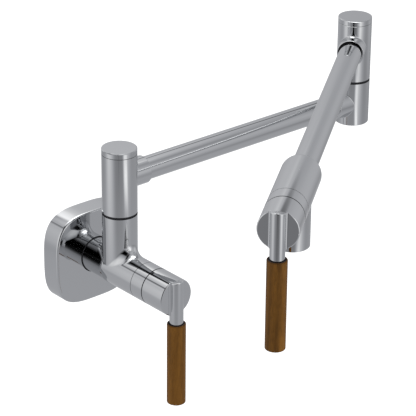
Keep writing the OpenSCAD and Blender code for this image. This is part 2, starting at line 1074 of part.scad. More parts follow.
elbow_joint_turned() cap();  // elbow_cap
elbow_joint_turned() cap_seal();  // elbow_cap_seal
along_arm_2() collar();  // arm_2_collar
arm_2_tube();
valve_body_2();
front_2() seat_seal();  // seat_seal_2
front_2() cartridge();  // cartridge_2
front_2() fixed_disc();  // fixed_disc_2
front_2() bonnet();  // bonnet_2
front_2() hub_washer();  // hub_washer_2
aerator_shell();
aerator_insert();
aerator_washer();
front_1() lever_hub();  // lever_hub_1
front_1() spindle();  // spindle_1
front_1() moving_disc();  // moving_disc_1
front_1() hub_screw();  // hub_screw_1
front_1() sleeve_ring();  // sleeve_ring_1
front_1() lever_sleeve();  // lever_sleeve_1
front_2() lever_hub();  // lever_hub_2
front_2() spindle();  // spindle_2
front_2() moving_disc();  // moving_disc_2
front_2() hub_screw();  // hub_screw_2
front_2() sleeve_ring();  // sleeve_ring_2
front_2() lever_sleeve();  // lever_sleeve_2
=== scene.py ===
"""Finishes and studio for a wall-mounted faucet with two jointed arms and two levers."""

import math
from typing import NamedTuple

import bpy
import numpy as np
from mathutils import Matrix, Vector


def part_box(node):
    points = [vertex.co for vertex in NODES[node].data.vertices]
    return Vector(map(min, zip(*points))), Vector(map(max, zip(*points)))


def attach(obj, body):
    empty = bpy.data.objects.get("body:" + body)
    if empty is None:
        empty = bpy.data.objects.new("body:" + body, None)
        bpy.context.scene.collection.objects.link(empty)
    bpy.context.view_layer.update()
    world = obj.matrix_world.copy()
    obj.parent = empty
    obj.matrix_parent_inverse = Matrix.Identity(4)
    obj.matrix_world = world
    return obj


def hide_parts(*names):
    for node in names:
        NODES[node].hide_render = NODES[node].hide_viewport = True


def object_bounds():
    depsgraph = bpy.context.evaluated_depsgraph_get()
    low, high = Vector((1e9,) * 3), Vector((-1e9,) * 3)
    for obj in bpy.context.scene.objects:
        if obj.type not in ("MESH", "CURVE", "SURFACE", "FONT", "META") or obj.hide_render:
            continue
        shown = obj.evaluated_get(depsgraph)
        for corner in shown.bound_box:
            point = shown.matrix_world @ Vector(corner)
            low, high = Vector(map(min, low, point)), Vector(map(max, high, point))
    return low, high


bl_info = {
    "name": "Jointed wall faucet",
    "version": (1, 0, 0),
    "blender": (4, 5, 0),
    "location": "3D View > Sidebar > Faucet",
    "description": "Finishes for a two-arm wall faucet, and the studio it stands in",
    "category": "Object",
}

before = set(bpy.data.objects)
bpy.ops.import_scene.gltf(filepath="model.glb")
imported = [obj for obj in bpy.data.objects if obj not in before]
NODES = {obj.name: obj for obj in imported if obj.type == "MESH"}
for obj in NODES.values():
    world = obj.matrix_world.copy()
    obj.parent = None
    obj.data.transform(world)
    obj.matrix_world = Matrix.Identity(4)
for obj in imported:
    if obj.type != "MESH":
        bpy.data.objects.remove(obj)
CAD_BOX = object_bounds()

OBJECT_MIDDLE = (CAD_BOX[0] + CAD_BOX[1]) / 2
UP = Vector((0, 0, 1))


# Which outer nodes get which finish. The others are hidden inside and take the finish of their slot

JOINTED = (
    "wall_plate",
    "valve_body_1",
    "valve_body_2",
    "elbow_base",
    "post_housing",
    "elbow_housing",
    "bonnet_1",
    "bonnet_2",
    "post_cap",
    "elbow_cap",
    "arm_1_collar_post",
    "arm_1_collar_elbow",
    "arm_2_collar",
    "lever_hub_1",
    "lever_hub_2",
)
TUBES = ("arm_1_tube", "arm_2_tube")
SLEEVES = ("lever_sleeve_1", "lever_sleeve_2")
SEAMS = (
    "plate_seal",
    "hub_washer_1",
    "hub_washer_2",
    "sleeve_ring_1",
    "sleeve_ring_2",
    "post_washer",
    "elbow_washer",
)
OUTLET = ("aerator_shell", "aerator_insert", "aerator_washer")


# Helpers for node trees


# How far apart nodes stand in the editor, and how many of them go down before the next starts at the top
NODE_STEP, NODE_DROP, NODE_ROWS = 180, 60, 5
# Where the shader, the material's output and a group's output stand
SHADER_AT, OUTPUT_AT, GROUP_END_AT = (2400, 0), (2700, 0), (3000, 0)
# What a finish's group gives
FINISH_SOCKETS = ("Color", "Roughness", "Height")


class Nodes:
    """Adds nodes to a tree and links them, left to right."""

    def __init__(self, tree):
        self.tree = tree
        self.column = 0

    def add(self, kind, inputs=(), **settings):
        made = self.tree.nodes.new(kind)
        self.column += 1
        made.location = (NODE_STEP * self.column, -NODE_DROP * (self.column % NODE_ROWS))
        for name, value in settings.items():
            setattr(made, name, value)
        for name, value in dict(inputs).items():
            socket = made.inputs[name]
            if isinstance(value, bpy.types.NodeSocket):
                self.tree.links.new(value, socket)
            else:
                socket.default_value = value
        return made

    def give(self, sockets, values):
        """Links values to the sockets of those names, and returns the tree."""
        for name, value in values.items():
            self.tree.links.new(value, sockets[name])
        return self.tree

    def place(self):
        return self.add("ShaderNodeTexCoord").outputs["Object"]

    def split(self, vector):
        return self.add("ShaderNodeSeparateXYZ", {"Vector": vector}).outputs

    def math(self, operation, first, second=0.0, third=0.0):
        inputs = {0: first, 1: second, 2: third}
        return self.add("ShaderNodeMath", inputs, operation=operation).outputs[0]

    def vector(self, operation, first, second):
        inputs = {0: first, 1: second}
        return self.add("ShaderNodeVectorMath", inputs, operation=operation).outputs

    def scaled(self, vector, scale):
        inputs = {0: vector, "Scale": scale}
        return self.add("ShaderNodeVectorMath", inputs, operation="SCALE").outputs[0]

    def stretched(self, vector, scale):
        return self.add("ShaderNodeMapping", {"Vector": vector, "Scale": scale}).outputs[0]

    def noise(self, vector, scale, detail, **more):
        inputs = {"Vector": vector, "Scale": scale, "Detail": detail, **more}
        return self.add("ShaderNodeTexNoise", inputs).outputs["Fac"]

    def spread(self, value, low, high, to_low=0.0, to_high=1.0, **settings):
        """How far a value has come from low to high, as a number from to_low to to_high."""
        inputs = {"Value": value, "From Min": low, "From Max": high, "To Min": to_low, "To Max": to_high}
        return self.add("ShaderNodeMapRange", inputs, **settings).outputs["Result"]

    def mixed(self, share, first, second):
        """Two colours mixed, with that share of the second."""
        inputs = {0: share, 6: first, 7: second}
        return self.add("ShaderNodeMix", inputs, data_type="RGBA").outputs[2]

    def bump(self, height, strength, distance):
        inputs = {"Strength": strength, "Distance": distance, "Height": height}
        return self.add("ShaderNodeBump", inputs).outputs["Normal"]

    def group(self, name, maker, inputs):
        """What the group of that name gives. Its maker builds it the first time it is asked for."""
        tree = bpy.data.node_groups.get(name) or maker()
        return self.add("ShaderNodeGroup", inputs, node_tree=tree).outputs


def new_group(name, takes, gives):
    """Starts a node group, and returns its node builder, what it takes and the sockets of what it gives."""
    tree = bpy.data.node_groups.new(name, "ShaderNodeTree")
    for label, default in takes.items():
        kind = "NodeSocketColor" if isinstance(default, tuple) else "NodeSocketFloat"
        if default is None:
            kind = "NodeSocketVector"
        socket = tree.interface.new_socket(label, in_out="INPUT", socket_type=kind)
        if default is not None:
            socket.default_value = default
    for label in gives:
        kind = "NodeSocketColor" if label == "Color" else "NodeSocketFloat"
        tree.interface.new_socket(label, in_out="OUTPUT", socket_type=kind)
    build = Nodes(tree)
    start = build.add("NodeGroupInput")
    end = tree.nodes.new("NodeGroupOutput")
    end.location = GROUP_END_AT
    return build, start.outputs, end.inputs


def new_material(name):
    """A material with only a Principled shader, its node builder and the shader."""
    material = bpy.data.materials.new(name)
    material.use_nodes = True
    shader = material.node_tree.nodes["Principled BSDF"]
    shader.location = SHADER_AT
    material.node_tree.nodes["Material Output"].location = OUTPUT_AT
    return material, Nodes(material.node_tree), shader


def dress(names, material):
    """Gives every material slot of these CAD nodes one material."""
    for name in names:
        piece = NODES[name]
        if not piece.material_slots:
            piece.data.materials.append(material)
        for slot in piece.material_slots:
            slot.material = material


# Copies of faceted nodes that mirror as the round surfaces they stand for

# Radii of the barrel, wall tube, post and collar, and of the two blends, as in the CAD
BARREL_R, WALL_TUBE_R, POST_R, COLLAR_R = 0.0162, 0.0154, 0.015, 0.012
CROTCH_R, FILLET_R = 0.0105, 0.0016
# Where the wall tube starts to widen to the barrel, and over what length
WIDENS_AT, WIDENS_OVER = 0.043, 0.003
# How far a blend's rolling ball sinks into the two cylinders that it touches, and its stops on the way round
BALL_SINK, BALL_STOPS = 0.00002, 1440
# A blend's facets lie this near its ball, as a share of it and a length, and turn no further than this
BALL_SHARE, BALL_NEAR, BLEND_TURN = 0.02, 0.00003, math.radians(24)
# How far round a blend its facets are looked for, in radii of the wider cylinder
LOOK_AROUND = 3
# The plate's half width, rim radius and squareness
PLATE_HALF, PLATE_RIM, PLATE_POWER = 0.0414, 0.0018, 3.4
# How far past the rim's inner and outer edge its facets reach, and how well they follow it
RIM_INNER, RIM_OUTER, RIM_LEAN = 0.00002, 0.0001, 0.9
# A facet that leans more than the first lies level, and one that leans less than the second stands upright
LEVEL_LEAN, UPRIGHT_LEAN = 0.9999, 0.005
# How far an edge's facets lie off its arc and past its ends
ARC_NEAR, ARC_PAST = 0.00003, 0.00002
# Corners that fall on one step are welded, with this many steps to a metre
WELD_STEPS = 1e6
# Length of a bonnet, and the place where a lever's stem stands clear of its hub, ahead of the washer
BONNET_LEN, HUB_FACE_AHEAD = 0.0144, 0.0268
# Rounding at the top of a stem, which is only bump
STEM_TOP_ROUND = 0.001
# Half widths of the bands of painted shade in the seams: behind a bonnet, at a hub washer, at a swivel and
# under each cap
SEAM_HALF, GROOVE_HALF, SWIVEL_HALF = 0.00022, 0.0005, 0.0011
CAP_SHADE_HALF = {"post": 0.0002, "elbow": 0.0001}
# Middle radius and half width of the ring of painted shade and dark reflection on a collar's face, and how
# far it lies up and aside
COLLAR_RING_R, COLLAR_RING_HALF = 0.0098, 0.0009
COLLAR_RING_UP, COLLAR_RING_ASIDE = 0.0007, 0.0003
# Middle radius and half width of the ring of painted shade round the plate's seal
RING_R, RING_HALF = 0.016, 0.00022
# How soft the edge of a band of painted shade is, and how dark that painted shade is
SEAM_SHADE_BLUR, SEAM_SHADE_COLOUR = 0.00004, (0.012, 0.012, 0.013, 1)
# For each sleeve: how its wood's layers are turned, how strong its light, dark and pore tones are, and how
# strong the painted shade on its left and the painted light on its right are, seen from the camera at rest
SLEEVE_WOOD = ((0.4, (0.97, 0.94, 0.92), (1, 1)), (2.6, (0.88, 0.7, 0.66), (0.87, 1.36)))
# Which way that painted light and shade changes, and between which distances from the sleeve's axis.
# The photo can't show whether it is paler wood or light on the sleeve
PAINTED_LIGHT_SIDE, PAINTED_LIGHT_FROM, PAINTED_LIGHT_TO = (0.758, -0.652, 0), 0.0005, 0.005
# How shiny the wood and the rubber are
WOOD_SHINE, RUBBER_SHINE = 0.12, 0.05
# How much finer a metal's fine marks are than its broad ones, and how deep a sleeve's grain is
FINE_MARKS, GRAIN_DEPTH = 14.0, 0.25
# Height of the relief of metal and wood, and of moulded pieces
RELIEF, FINE_RELIEF = 0.0002, 0.0001
# How far from a sleeve's axis its growth layers are centred, in X and Y, and how far they sway
LAYERS_X, LAYERS_Y, LAYERS_SWAY = 0.03, 0.05, 0.012
# How much the layers, fibres, figure and bands of the wood add to its tone
LAYER_TONE, FIBRE_TONE, FIGURE_TONE, BAND_TONE = 0.2, 0.4, 0.5, 0.45
# How coarse the fibres, the figure and the pores are along a sleeve, as shares of how they are across it
FIBRE_ALONG, FIGURE_ALONG, PORE_ALONG = 0.06, 0.28, 0.09
# How dark a pore is, how deep it is and how dark a sleeve's ends are
PORE_TONE, PORE_DEPTH, END_TONE = 0.45, -0.8, 0.55
# Rounding of the hubs' front edges and of the caps
EDGE_ROUND = 0.0007
# How these edges' normals lean, from square to the axis to along it, and how much of their own turn they
# keep. These were tried until the reflections looked like the photo's
HUB_EDGE = (math.radians(45), 0.5)
POST_CAP_EDGE = (math.radians(45), 0.1)
ELBOW_CAP_EDGE = (math.radians(84), 0.1)


def unit(vectors):
    return vectors / np.maximum(np.linalg.norm(vectors, axis=-1, keepdims=True), 1e-12)


def middle_of(name):
    low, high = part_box(name)
    return (low + high) / 2


def ball_line(foot, along, cylinder, stem, base, ball):
    """Centres of a ball that rolls round a stem where it stands on a cylinder."""
    side = np.cross(cylinder, along)
    turn = np.arange(BALL_STOPS) * math.tau / BALL_STOPS
    out = stem + ball - BALL_SINK
    across, lengthwise = out * np.cos(turn), out * np.sin(turn)
    up = base(lengthwise) + ball - BALL_SINK
    rise = np.sqrt(up**2 - across**2)
    return foot + across[:, None] * side + lengthwise[:, None] * cylinder + rise[:, None] * along


def crossing_angle(radius, ball):
    """Angle between a blend and a cylinder of that radius where the two meet."""
    apart = radius + ball - BALL_SINK
    return math.pi - math.acos((ball**2 + radius**2 - apart**2) / (2 * ball * radius))


def blend_normals(foot, along, cylinder, stem, base, ball, widest):
    """A rule that finds a blend's facets and gives their corners the rolling ball's normals."""
    foot, along, cylinder = (np.array(v, float) for v in (foot, along, cylinder))
    line = ball_line(foot, along, cylinder, stem, base, ball)

    def rule(corners, flat):
        points = corners.reshape(-1, 3)
        apart = np.ones(len(points))
        normal = np.zeros_like(points)
        for i in np.nonzero(np.linalg.norm(points - foot, axis=1) < LOOK_AROUND * widest)[0]:
            step = line - points[i]
            far = np.sqrt((step**2).sum(1))
            nearest = far.argmin()
            apart[i] = abs(far[nearest] - ball)
            normal[i] = step[nearest] / far[nearest]
        for axis, radius in ((along, stem), (cylinder, widest)):
            offset = points - foot
            radial = unit(offset - (offset @ axis)[:, None] * axis)
            angle = np.arccos(np.clip((normal * radial).sum(1), -1, 1))
            limit = crossing_angle(radius, ball)
            share = np.clip((angle - limit) / (2 * limit), 0, 1)
            share = (share * share * (3 - 2 * share))[:, None]
            normal = unit(radial * (1 - share) + normal * share)
        apart, normal = apart.reshape(-1, 3), normal.reshape(-1, 3, 3)
        lean = (unit(normal.mean(1)) * flat).sum(1)
        near = apart.max(1) < BALL_SHARE * ball + BALL_NEAR
        return near & (lean > math.cos(BLEND_TURN)), normal

    return rule


def rim_normals(corners, flat):
    """The rule for the plate's sides and rounded front edge, which follow a squared circle."""
    x, z = corners[..., 0], corners[..., 2]
    inset = PLATE_HALF - (abs(x) ** PLATE_POWER + abs(z) ** PLATE_POWER) ** (1 / PLATE_POWER)
    turn = np.arccos(np.clip(1 - inset / PLATE_RIM, 0, 1))
    slope = PLATE_POWER - 1
    level = unit(np.stack([np.sign(x) * abs(x) ** slope, 0 * x, np.sign(z) * abs(z) ** slope], -1))
    normal = level * np.cos(turn)[..., None]
    normal[..., 1] = -np.sin(turn)
    lean = (unit(normal.mean(1)) * flat).sum(1)
    outside = (inset.max(1) < PLATE_RIM + RIM_INNER) & (inset.min(1) > -RIM_OUTER)
    return outside & (lean > RIM_LEAN) & (abs(flat[:, 1]) < LEVEL_LEAN), unit(normal)


def edge_normals(foot, along, radius, lean_to, kept):
    """The rule for the rounded front edge of a hub or a cap, whose normals are leant to suit the photo."""
    foot, along = np.array(foot, float), np.array(along, float)

    def rule(corners, flat):
        offset = corners - foot
        forward = offset @ along
        radial = offset - forward[..., None] * along
        out = np.linalg.norm(radial, axis=-1)
        lean = (flat * along).sum(1)
        level = (lean > LEVEL_LEAN) & (abs(out.max(1) - radius + EDGE_ROUND) < ARC_NEAR)
        front = np.median(forward[level])
        rise, spread = forward - front + EDGE_ROUND, out - radius + EDGE_ROUND
        on_arc = abs(np.hypot(rise, spread) - EDGE_ROUND).max(1) < ARC_NEAR
        inside = (rise.min(1) > -ARC_PAST) & (spread.min(1) > -ARC_PAST)
        leaning = (lean > UPRIGHT_LEAN) & (lean < LEVEL_LEAN)
        turn = np.arctan2(np.maximum(rise, 0), np.maximum(spread, 0))
        turn = (lean_to + (turn - lean_to) * kept)[..., None]
        return on_arc & inside & leaning, unit(unit(radial) * np.cos(turn) + along * np.sin(turn))

    return rule


def rounded_copy(name, body, rule, material):
    """Stands a welded copy with smooth normals in for a CAD node."""
    source = NODES[name].data
    spots = np.array([vertex.co[:] for vertex in source.vertices])
    corners = spots[np.array([face.vertices[:] for face in source.polygons])]
    normals = np.array([corner.vector[:] for corner in source.corner_normals]).reshape(-1, 3, 3)
    flat = unit(np.cross(corners[:, 1] - corners[:, 0], corners[:, 2] - corners[:, 0]))
    chosen, smooth = rule(corners, flat)
    if not chosen.any():
        raise RuntimeError(f"{name} has no facets where its round surface should be")
    normals = np.where(chosen[:, None, None], smooth, normals)
    steps = np.round(corners.reshape(-1, 3) * WELD_STEPS).astype(np.int64)
    _, first, welded = np.unique(steps, axis=0, return_index=True, return_inverse=True)
    faces = welded.reshape(-1, 3)
    whole = (faces[:, 0] != faces[:, 1]) & (faces[:, 1] != faces[:, 2]) & (faces[:, 2] != faces[:, 0])
    mesh = bpy.data.meshes.new(f"{name}_rounded")
    mesh.from_pydata(corners.reshape(-1, 3)[first].tolist(), [], faces[whole].tolist(), shade_flat=False)
    mesh.normals_split_custom_set(normals[whole].reshape(-1, 3).tolist())
    mesh.materials.append(material)
    piece = bpy.data.objects.new(f"{name}_rounded", mesh)
    bpy.context.scene.collection.objects.link(piece)
    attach(piece, body)
    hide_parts(name)
    return piece


# Node groups that more than one material uses


def polish_group():
    """Soft changes of tone and gloss over metal: faint wipe marks and the waves of polishing."""
    takes = {
        "Vector": None,
        "Colour": (0.6, 0.6, 0.6, 1),
        "Tone change": 0.02,
        "Gloss from": 0.03,
        "Gloss to": 0.06,
        "Mark size": 40.0,
    }
    build, into, end = new_group("metal_polish", takes, FINISH_SOCKETS)
    broad = build.noise(into["Vector"], into["Mark size"], detail=2.0)
    fine_size = build.math("MULTIPLY", into["Mark size"], FINE_MARKS)
    fine = build.noise(into["Vector"], fine_size, detail=3.0)
    centred = build.math("SUBTRACT", broad, 0.5)
    change = build.math("MULTIPLY_ADD", centred, into["Tone change"], 1.0)
    marks = build.math("MULTIPLY", broad, fine)
    gloss = build.spread(marks, low=0.12, high=0.42, to_low=into["Gloss from"], to_high=into["Gloss to"])
    tint = build.scaled(into["Colour"], change)
    return build.give(end, {"Color": tint, "Roughness": gloss, "Height": fine})


def grain_group():
    """Turned hardwood: growth layers about a far axis, long fibres, and short dark pores."""
    takes = {
        "Vector": None,
        "Light": (0.2, 0.1, 0.03, 1),
        "Dark": (0.1, 0.04, 0.01, 1),
        "Pore": (0.03, 0.015, 0.005, 1),
        "Layer spacing": 0.004,
        "Lower end": -0.1,
        "Upper end": 0.0,
    }
    build, into, end = new_group("wood_grain", takes, FINISH_SOCKETS)
    place = into["Vector"]
    split = build.split(place)
    sway = build.noise(build.stretched(place, (30.0, 30.0, 9.0)), scale=1.0, detail=2.0)
    away = build.math("ADD", split["Y"], LAYERS_Y)
    far = build.math("ADD", split["X"], LAYERS_X)
    square = build.math("MULTIPLY", away, away)
    distance = build.math("SQRT", build.math("MULTIPLY_ADD", far, far, square))
    swayed = build.math("MULTIPLY_ADD", sway, LAYERS_SWAY, distance)
    layers = build.math("DIVIDE", swayed, into["Layer spacing"])
    wave = build.math("SINE", build.math("MULTIPLY", layers, math.tau))
    layer = build.math("MULTIPLY_ADD", wave, 0.5, 0.5)
    along = build.stretched(place, (1.0, 1.0, FIBRE_ALONG))
    fibre = build.noise(along, scale=1500.0, detail=4.0, Roughness=0.6)
    band = build.noise(along, scale=420.0, detail=2.0)
    figure = build.noise(build.stretched(place, (1.0, 1.0, FIGURE_ALONG)), scale=520.0, detail=3.0)
    tone = build.math("MULTIPLY_ADD", layer, LAYER_TONE, build.math("MULTIPLY", fibre, FIBRE_TONE))
    tone = build.math("MULTIPLY_ADD", figure, FIGURE_TONE, tone)
    tone = build.math("MULTIPLY_ADD", band, BAND_TONE, tone)
    body = build.mixed(build.spread(tone, low=0.48, high=1.05), into["Dark"], into["Light"])
    spots = build.noise(build.stretched(place, (1.0, 1.0, PORE_ALONG)), scale=2600.0, detail=1.0)
    pore = build.spread(spots, low=0.60, high=0.74)
    pored = build.mixed(build.math("MULTIPLY", pore, PORE_TONE), body, into["Pore"])
    low = build.math("SUBTRACT", split["Z"], into["Lower end"])
    high = build.math("SUBTRACT", into["Upper end"], split["Z"])
    nearest = build.math("MINIMUM", low, high)
    rim = build.spread(nearest, low=0.0002, high=0.0013, to_low=END_TONE, to_high=0.0)
    ended = build.mixed(rim, pored, into["Pore"])
    gloss = build.spread(fibre, low=0.3, high=0.7, to_low=0.42, to_high=0.58)
    height = build.math("MULTIPLY_ADD", pore, PORE_DEPTH, fibre)
    return build.give(end, {"Color": ended, "Roughness": gloss, "Height": height})


def speckle_group():
    """Fine speckle and faint clouding for rubber, ceramic and plastic."""
    takes = {
        "Vector": None,
        "Colour": (0.5, 0.5, 0.5, 1),
        "Shade": (0.4, 0.4, 0.4, 1),
        "Gloss from": 0.4,
        "Gloss to": 0.6,
    }
    build, into, end = new_group("moulded_speckle", takes, FINISH_SOCKETS)
    grit = build.noise(into["Vector"], scale=2200.0, detail=2.0)
    cloud = build.noise(into["Vector"], scale=90.0, detail=3.0)
    share = build.math("MULTIPLY_ADD", grit, 0.4, build.math("MULTIPLY", cloud, 0.6))
    sharper = build.spread(share, low=0.35, high=0.65)
    colour = build.mixed(sharper, into["Shade"], into["Colour"])
    gloss = build.spread(grit, low=0.3, high=0.7, to_low=into["Gloss from"], to_high=into["Gloss to"])
    return build.give(end, {"Color": colour, "Roughness": gloss, "Height": grit})


def about_axis(build, into):
    """A point's offset from the foot of an axis, how far along the axis it lies and how far out from it."""
    offset = build.vector("SUBTRACT", into["Vector"], into["Foot"])[0]
    along = build.vector("DOT_PRODUCT", offset, into["Axis"])["Value"]
    apart = build.vector("CROSS_PRODUCT", offset, into["Axis"])[0]
    out = build.add("ShaderNodeVectorMath", {0: apart}, operation="LENGTH").outputs["Value"]
    return offset, along, out


def seam_shade_group():
    """Painted shade: a thin dark band where two parts meet, across an axis or in a ring round it."""
    takes = {"Vector": None, "Foot": None, "Axis": None, "Radius": 0.0, "Ring": 0.0, "Half width": 0.0002}
    build, into, end = new_group("joint_shadow", takes, ("Mask",))
    _, along, out = about_axis(build, into)
    from_plane = build.math("ABSOLUTE", along)
    from_ring = build.math("ABSOLUTE", build.math("SUBTRACT", out, into["Radius"]))
    far = build.add("ShaderNodeMix", {0: into["Ring"], 2: from_plane, 3: from_ring}).outputs[0]
    outer = build.math("ADD", into["Half width"], SEAM_SHADE_BLUR)
    inner = build.math("SUBTRACT", into["Half width"], SEAM_SHADE_BLUR)
    return build.give(end, {"Mask": build.spread(far, outer, inner)})


def fall_group():
    """How far a stem's upper edge falls away near its barrel's outline, in front of the barrel's face."""
    takes = {"Vector": None, "Foot": None, "Axis": None, "Ahead": 0.0, "Radius": 0.0, "Rounding": 0.001}
    build, into, end = new_group("edge_fall", takes, ("Height",))
    offset, along, out = about_axis(build, into)
    foot = build.math("SUBTRACT", into["Radius"], into["Rounding"])
    share = build.spread(out, foot, into["Radius"])
    square = build.math("MULTIPLY", share, share)
    level = build.math("SQRT", build.math("SUBTRACT", 1.0, square))
    drop = build.math("MULTIPLY", build.math("SUBTRACT", level, 1.0), into["Rounding"])
    front = build.math("GREATER_THAN", along, into["Ahead"])
    upper = build.math("GREATER_THAN", build.split(offset)["Z"], 0.0)
    height = build.math("MULTIPLY", drop, build.math("MULTIPLY", front, upper))
    return build.give(end, {"Height": height})


# Materials


class SeamShade(NamedTuple):
    """Where a band of painted shade lies where two parts meet: across an axis at its foot, or in a ring of
    some radius round it.
    """

    foot: Vector
    axis: Vector
    half_width: float
    radius: float = 0.0


def metal(name, colour, tone, gloss, mark_size, bump=0.0, joints=(), fall=None):
    """A metal with polish marks, with bands of painted shade at the seams it is given, and with either the
    fall of a stem's edge or a fine relief.
    """
    material, build, shader = new_material(name)
    place = build.place()
    values = {
        "Vector": place,
        "Colour": (*colour, 1),
        "Tone change": tone,
        "Gloss from": gloss[0],
        "Gloss to": gloss[1],
        "Mark size": mark_size,
    }
    polish = build.group("metal_polish", polish_group, values)
    surface = polish["Color"]
    # Each band paints the metal nearly black where two parts meet, as painted shade
    for seam_shade in joints:
        values = {
            "Vector": place,
            "Foot": seam_shade.foot,
            "Axis": seam_shade.axis,
            "Radius": seam_shade.radius,
            "Ring": float(seam_shade.radius > 0),
            "Half width": seam_shade.half_width,
        }
        line = build.group("joint_shadow", seam_shade_group, values)
        surface = build.mixed(line["Mask"], surface, SEAM_SHADE_COLOUR)
    shader.inputs["Metallic"].default_value = 1.0
    build.give(shader.inputs, {"Base Color": surface, "Roughness": polish["Roughness"]})
    if fall:
        edge = build.group("edge_fall", fall_group, {"Vector": place, **fall})
        build.give(shader.inputs, {"Normal": build.bump(edge["Height"], strength=1.0, distance=1.0)})
    elif bump:
        relief = build.bump(polish["Height"], strength=bump, distance=RELIEF)
        build.give(shader.inputs, {"Normal": relief})
    return material


def moulded(name, colour, shade, gloss, bump, shine=0.5):
    """Rubber, ceramic or plastic with a fine speckle."""
    material, build, shader = new_material(name)
    values = {
        "Vector": build.place(),
        "Colour": (*colour, 1),
        "Shade": (*shade, 1),
        "Gloss from": gloss[0],
        "Gloss to": gloss[1],
    }
    speckle = build.group("moulded_speckle", speckle_group, values)
    shader.inputs["Specular IOR Level"].default_value = shine
    relief = build.bump(speckle["Height"], strength=bump, distance=FINE_RELIEF)
    look = {"Base Color": speckle["Color"], "Roughness": speckle["Roughness"], "Normal": relief}
    build.give(shader.inputs, look)
    return material


def wood(name, tones, spacing, piece, turn, sides):
    """Oiled brown hardwood for a sleeve. Its pattern is centred on the piece and turned about its length,
    and one side is painted darker and the other lighter, as painted shade and light.
    """
    low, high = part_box(piece)
    middle = (low + high) / 2
    half = (high.z - low.z) / 2
    material, build, shader = new_material(name)
    centring = {"Vector": build.place(), "Location": -middle}
    centred = build.add("ShaderNodeMapping", centring).outputs[0]
    turned = build.add("ShaderNodeMapping", {"Vector": centred, "Rotation": (0, 0, turn)}).outputs[0]
    light, dark, pore = ((*tone, 1) for tone in tones)
    values = {
        "Vector": turned,
        "Light": light,
        "Dark": dark,
        "Pore": pore,
        "Layer spacing": spacing,
        "Lower end": -half,
        "Upper end": half,
    }
    grain = build.group("wood_grain", grain_group, values)
    # Painted light and shade: the wood's colour is scaled down on one side and up on the other
    aside = build.vector("DOT_PRODUCT", centred, PAINTED_LIGHT_SIDE)["Value"]
    painted_light = build.spread(aside, PAINTED_LIGHT_FROM, PAINTED_LIGHT_TO, *sides, interpolation_type="SMOOTHSTEP")
    toned = build.scaled(grain["Color"], painted_light)
    relief = build.bump(grain["Height"], strength=GRAIN_DEPTH, distance=RELIEF)
    shader.inputs["Specular IOR Level"].default_value = WOOD_SHINE
    build.give(shader.inputs, {"Base Color": toned, "Roughness": grain["Roughness"], "Normal": relief})
    return material


def chrome(name="polished_chrome", joints=(), fall=None):
    """The chrome of that name, made the first time it is asked for."""
    finish = bpy.context.scene.faucet_finish
    gloss = (finish.chrome_roughness, finish.chrome_roughness * 2)
    look = {"tone": 0.02, "gloss": gloss, "mark_size": finish.mark_size, "joints": joints, "fall": fall}
    return bpy.data.materials.get(name) or metal(name, finish.chrome_colour, **look)


def swivel_shade(washer):
    """The band of painted shade in the seam round a swivel's washer."""
    return SeamShade(middle_of(washer), UP, SWIVEL_HALF)


def barrel_chrome(number):
    """Chrome for a barrel: painted shade in the seams at the bonnet, the hub and the post, and the fall of
    the stem's top.
    """
    washer, bonnet = middle_of(f"hub_washer_{number}"), middle_of(f"bonnet_{number}")
    axis = (washer - bonnet).normalized()
    joints = (
        SeamShade(bonnet - axis * BONNET_LEN / 2, axis, SEAM_HALF),
        SeamShade(washer, axis, GROOVE_HALF),
        swivel_shade("post_washer"),
    )
    fall = {
        "Foot": washer,
        "Axis": axis,
        "Ahead": HUB_FACE_AHEAD,
        "Radius": BARREL_R,
        "Rounding": STEM_TOP_ROUND,
    }
    return chrome(f"chrome_barrel_{number}", joints, fall)


def swivel_chrome(name):
    """Chrome with painted shade in the seam of one swivel and a fine band of painted shade under its cap."""
    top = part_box(f"{name}_housing")[1].z
    cap_shade = SeamShade(Vector((0, 0, top)), UP, CAP_SHADE_HALF[name])
    return chrome(f"chrome_{name}", (swivel_shade(f"{name}_washer"), cap_shade))


def collar_chrome(name, foot, along):
    """Chrome with a ring of painted shade and dark reflection on the collar's face, round its tube and
    widest at the top.
    """
    foot = Vector(foot) + UP * COLLAR_RING_UP + along.cross(UP) * COLLAR_RING_ASIDE
    return chrome(f"chrome_{name}", (SeamShade(foot, along, COLLAR_RING_HALF, COLLAR_RING_R),))


def plate_chrome():
    """Chrome with a ring of painted shade where the plate meets its seal."""
    return chrome("chrome_plate", (SeamShade(Vector((0, 0, 0)), Vector((0, 1, 0)), RING_HALF, RING_R),))


def rubber():
    """The black rubber, made the first time it is asked for."""
    colour = tuple(bpy.context.scene.faucet_finish.rubber_colour)
    shade = tuple(0.5 * part for part in colour)
    look = {"colour": colour, "shade": shade, "gloss": (0.45, 0.6), "bump": 0.1, "shine": RUBBER_SHINE}
    return bpy.data.materials.get("black_rubber") or moulded("black_rubber", **look)


def plastic():
    """The pale plastic, made the first time it is asked for."""
    look = {"colour": (0.62, 0.62, 0.58), "shade": (0.52, 0.52, 0.48), "gloss": (0.4, 0.55), "bump": 0.1}
    return bpy.data.materials.get("pale_plastic") or moulded("pale_plastic", **look)


# Settings


def colour_setting(name, description, default, brightest=1):
    """A colour that a user may change."""
    return bpy.props.FloatVectorProperty(
        name=name, description=description, subtype="COLOR", size=3, min=0, max=brightest, default=default
    )


